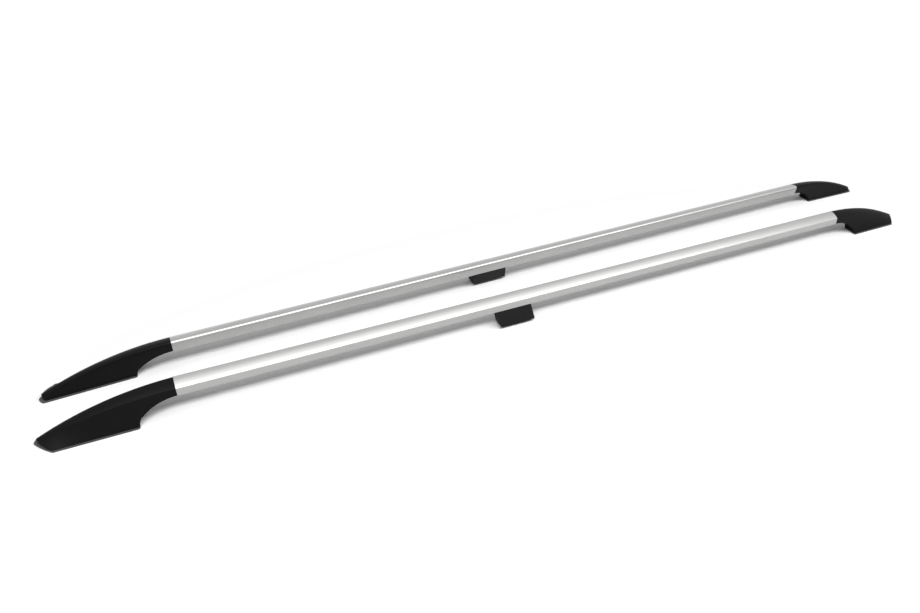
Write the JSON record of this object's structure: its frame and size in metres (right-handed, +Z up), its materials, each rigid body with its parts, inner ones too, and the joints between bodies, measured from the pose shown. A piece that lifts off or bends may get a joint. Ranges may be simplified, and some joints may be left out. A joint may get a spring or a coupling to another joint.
{
  "type": "roof side rail pair",
  "caption": "Pair of lengthwise roof side rails: aluminium tube on tapered black end feet, with a bracket near the middle.",
  "frame": {"origin": "middle of the pair, on the surface that the feet stand on", "axes": "+X along the left rail towards its rear foot, +Y from the left rail to the right one, +Z up"},
  "size_m": [2.1654, 0.2346, 0.0674],
  "materials": {
    "tube": "satin anodised",
    "foot": "fine grained black",
    "bracket": "fine grained black",
    "gasket": "dull black",
    "cast": "as cast",
    "steel": "zinc plated"
  },
  "bodies": {
    "root": {"left_rail_tube": "tube", "left_centre_bracket": "bracket", "left_bracket_insert": "steel", "left_bracket_screws": "steel", "left_rivet_nuts": "steel", "left_front_foot": "foot", "left_front_gasket": "gasket", "left_front_spigot": "cast", "left_front_spigot_screws": "steel", "left_front_thread_insert": "steel", "left_rear_foot": "foot", "left_rear_gasket": "gasket", "left_rear_spigot": "cast", "left_rear_spigot_screws": "steel", "left_rear_thread_insert": "steel", "right_rail_tube": "tube", "right_centre_bracket": "bracket", "right_bracket_insert": "steel", "right_bracket_screws": "steel", "right_rivet_nuts": "steel", "right_front_foot": "foot", "right_front_gasket": "gasket", "right_front_spigot": "cast", "right_front_spigot_screws": "steel", "right_front_thread_insert": "steel", "right_rear_foot": "foot", "right_rear_gasket": "gasket", "right_rear_spigot": "cast", "right_rear_spigot_screws": "steel", "right_rear_thread_insert": "steel"}
  },
  "joints": []
}
